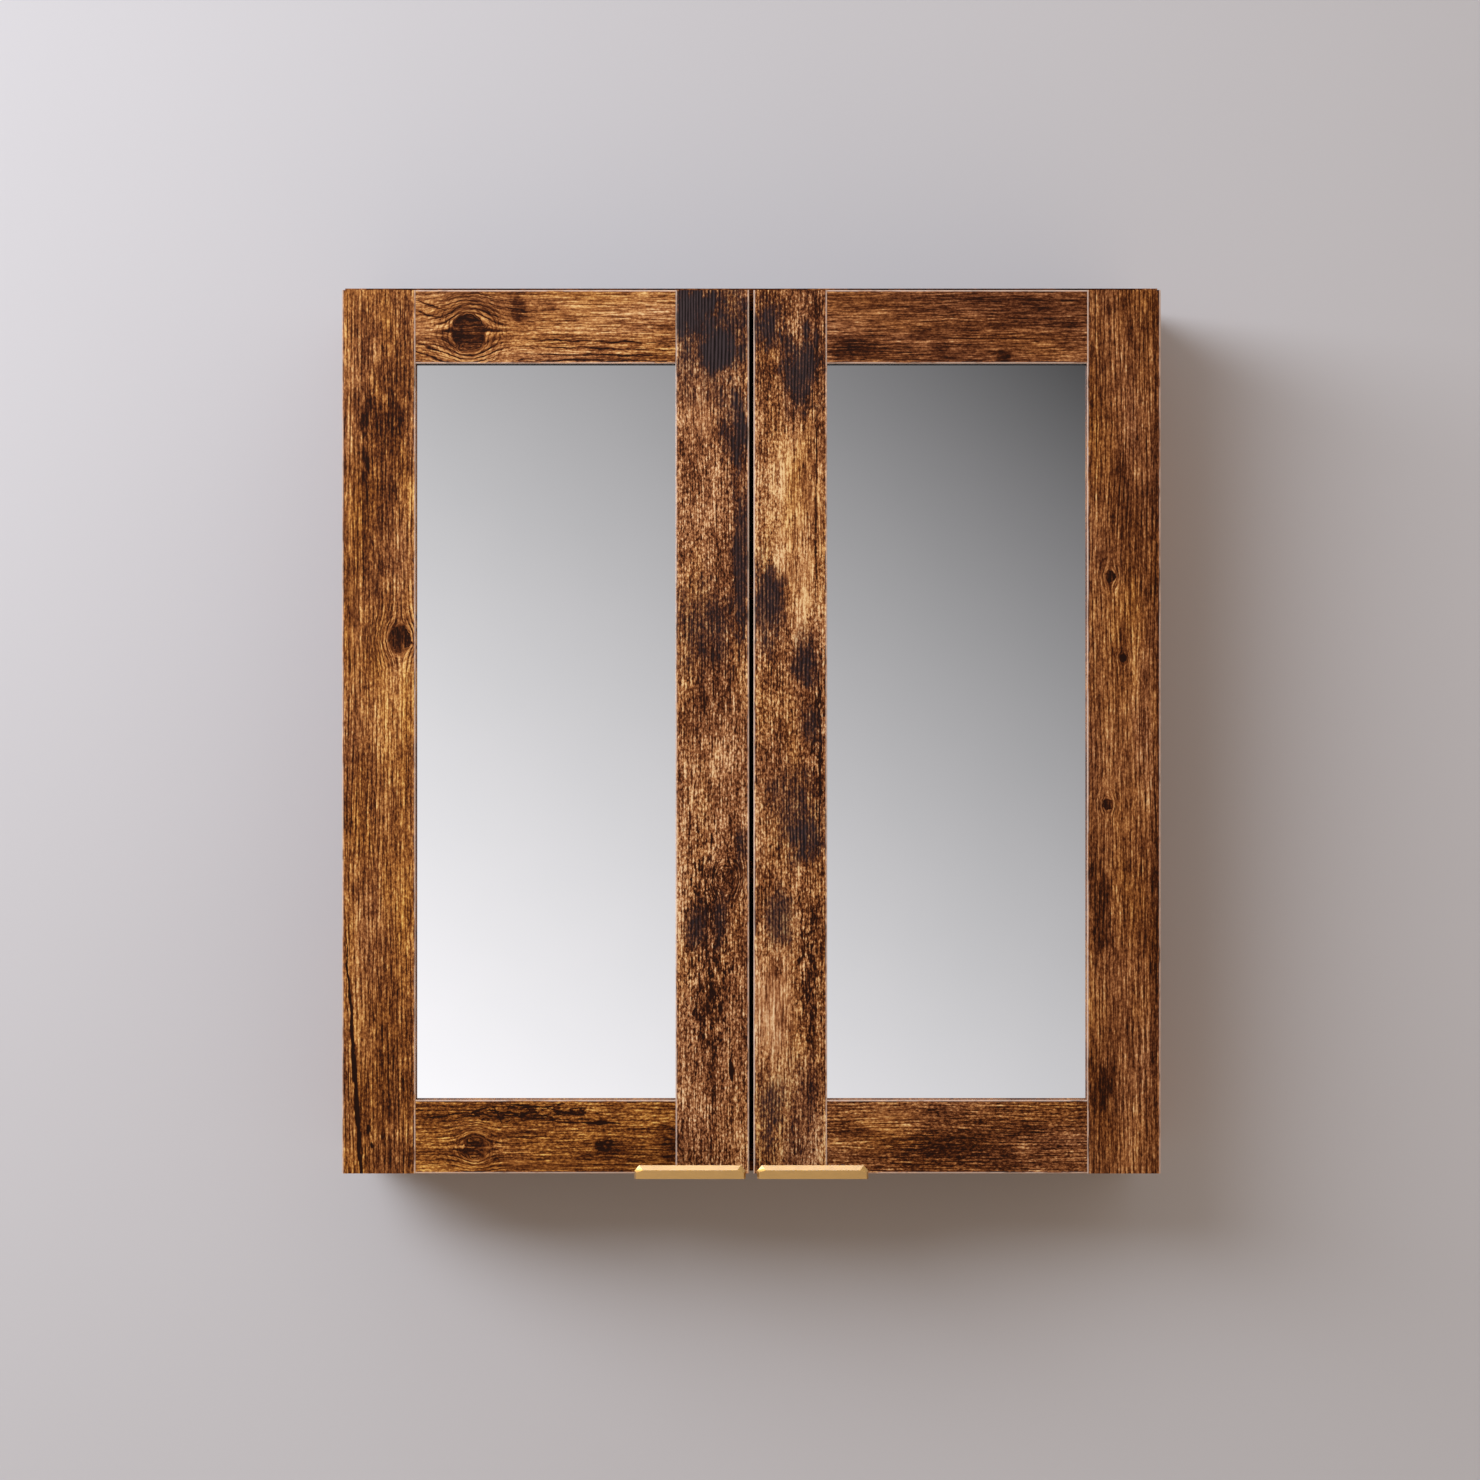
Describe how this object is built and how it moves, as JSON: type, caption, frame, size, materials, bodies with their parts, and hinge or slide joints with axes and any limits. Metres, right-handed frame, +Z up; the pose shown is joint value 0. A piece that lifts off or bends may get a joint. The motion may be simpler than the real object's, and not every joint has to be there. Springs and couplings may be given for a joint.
{
  "type": "mirror cabinet",
  "caption": "Wall-hung mirror cabinet: wood-look framed mirror doors on concealed hinges, brass-coloured edge pulls below, loose shelves on pins inside.",
  "frame": {"origin": "on the wall plane at the centre of the four wall-screw holes, which is the middle of the carcass", "axes": "+X to the viewer's right, +Y from the doors into the wall, +Z up"},
  "size_m": [0.556, 0.146, 0.6051],
  "materials": {
    "wood_laminate": "matt rustic wood print",
    "backing_board": "smooth hardboard",
    "mirror_glass": "silvered float glass",
    "brass_pull": "satin gold plating",
    "nickel_plated_hinge": "nickel",
    "zinc_plated_steel": "zinc",
    "die_cast_zinc": "as cast",
    "beech_dowel": "fluted beech",
    "clear_bumper": "clear soft plastic",
    "catch_plastic": "moulded brown",
    "catch_magnet": "bare steel"
  },
  "bodies": {
    "carcass": {"top_panel": "wood_laminate", "bottom_panel": "wood_laminate", "back_panel": "backing_board", "upper_hanging_rail": "wood_laminate", "lower_hanging_rail": "wood_laminate", "shelf_pins": "zinc_plated_steel", "carcass_dowels": "beech_dowel", "cam_bolts": "zinc_plated_steel", "cam_locks": "die_cast_zinc", "carcass_screws": "zinc_plated_steel", "hinge_arm_screws": "zinc_plated_steel", "lower_shelf": "wood_laminate", "upper_shelf": "wood_laminate", "left_side_panel": "wood_laminate", "right_side_panel": "wood_laminate", "left_upper_hinge_plate": "nickel_plated_hinge", "right_upper_hinge_plate": "nickel_plated_hinge", "left_lower_hinge_plate": "nickel_plated_hinge", "right_lower_hinge_plate": "nickel_plated_hinge", "left_upper_hinge_arm": "nickel_plated_hinge", "right_upper_hinge_arm": "nickel_plated_hinge", "left_lower_hinge_arm": "nickel_plated_hinge", "right_lower_hinge_arm": "nickel_plated_hinge", "left_catch_housing": "catch_plastic", "right_catch_housing": "catch_plastic", "left_catch_magnet": "catch_magnet", "right_catch_magnet": "catch_magnet"},
    "left_door": {"left_door_hinge_stile": "wood_laminate", "left_door_meeting_stile": "wood_laminate", "left_door_top_rail": "wood_laminate", "left_door_bottom_rail": "wood_laminate", "left_mirror": "mirror_glass", "left_mirror_backing": "backing_board", "left_mirror_clips": "zinc_plated_steel", "left_edge_pull": "brass_pull", "left_upper_hinge_cup": "nickel_plated_hinge", "left_lower_hinge_cup": "nickel_plated_hinge", "left_hinge_pins": "nickel_plated_hinge", "left_door_screws": "zinc_plated_steel", "left_door_bumpers": "clear_bumper", "left_strike_plate": "zinc_plated_steel"},
    "right_door": {"right_door_hinge_stile": "wood_laminate", "right_door_meeting_stile": "wood_laminate", "right_door_top_rail": "wood_laminate", "right_door_bottom_rail": "wood_laminate", "right_mirror": "mirror_glass", "right_mirror_backing": "backing_board", "right_mirror_clips": "zinc_plated_steel", "right_edge_pull": "brass_pull", "right_upper_hinge_cup": "nickel_plated_hinge", "right_lower_hinge_cup": "nickel_plated_hinge", "right_hinge_pins": "nickel_plated_hinge", "right_door_screws": "zinc_plated_steel", "right_door_bumpers": "clear_bumper", "right_strike_plate": "zinc_plated_steel"}
  },
  "joints": [
    {"name": "left_door_swing", "type": "hinge", "parent": "carcass", "child": "left_door", "pos_m": [-0.2712, -0.1225, 0], "axis": [0, 0, -1], "range_deg": [0, 100]},
    {"name": "right_door_swing", "type": "hinge", "parent": "carcass", "child": "right_door", "pos_m": [0.2712, -0.1225, 0], "axis": [0, 0, 1], "range_deg": [0, 100]}
  ]
}
